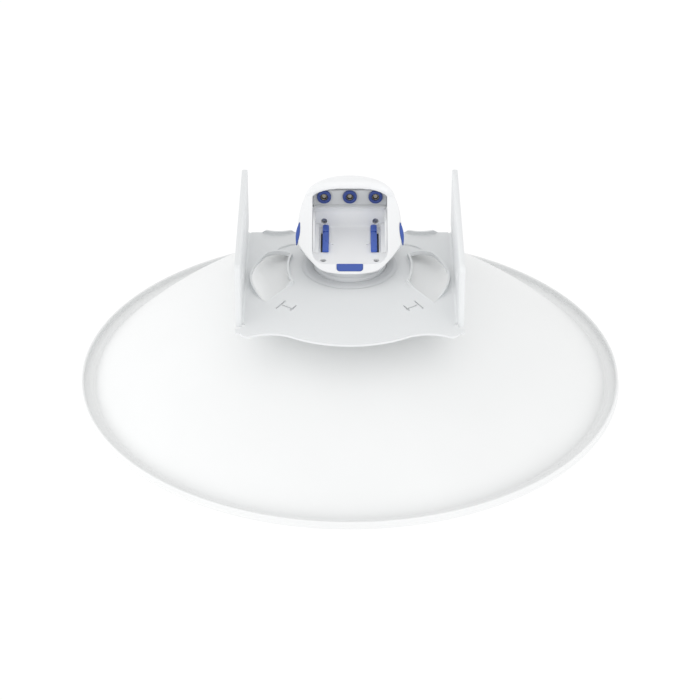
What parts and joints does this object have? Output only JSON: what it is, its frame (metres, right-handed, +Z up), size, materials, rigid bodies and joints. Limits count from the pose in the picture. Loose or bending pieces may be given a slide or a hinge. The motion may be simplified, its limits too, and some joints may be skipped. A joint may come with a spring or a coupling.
{
  "type": "dish antenna",
  "caption": "Round dish antenna for a point-to-point radio link, with a pole bracket, a bay for a plug-in radio on its back and a feed in front.",
  "frame": {"origin": "on the flat back face of the mounting bracket, in its middle plane, 120 mm below the boresight axis", "axes": "+Y along the boresight, out of the front of the dish; +Z up as the antenna hangs on its pole; +X to the right seen from behind"},
  "size_m": [0.65, 0.2473, 0.65],
  "materials": {
    "painted_sheet": "white powder coat, satin",
    "white_plastic": "moulded, satin",
    "blue_rubber": "moulded, smooth",
    "blue_plastic": "moulded, semi-gloss",
    "plated_brass": "plated, polished",
    "insulator": "turned, smooth",
    "screw_steel": "zinc plated"
  },
  "bodies": {
    "root": {"reflector": "painted_sheet", "mounting_bracket": "painted_sheet", "mount_ring": "white_plastic", "housing_neck": "white_plastic", "radio_housing": "white_plastic", "port_panel": "white_plastic", "guide_rail_left": "white_plastic", "guide_rail_right": "white_plastic", "port_seal_left": "blue_rubber", "port_seal_centre": "blue_rubber", "port_seal_right": "blue_rubber", "coax_socket_left": "plated_brass", "coax_socket_centre": "plated_brass", "coax_socket_right": "plated_brass", "socket_core_left": "insulator", "socket_core_centre": "insulator", "socket_core_right": "insulator", "latch_left": "blue_plastic", "latch_right": "blue_plastic", "release_tab": "blue_plastic", "side_tab_left": "blue_plastic", "side_tab_right": "blue_plastic", "floor_screw_left": "screw_steel", "floor_screw_right": "screw_steel", "wall_screw_left": "screw_steel", "wall_screw_right": "screw_steel", "feed_flange": "white_plastic", "feed_tube": "white_plastic", "feed_collar": "white_plastic", "feed_cap": "white_plastic", "hub_screw_1": "screw_steel", "hub_screw_2": "screw_steel", "hub_screw_3": "screw_steel", "hub_screw_4": "screw_steel"}
  },
  "joints": []
}
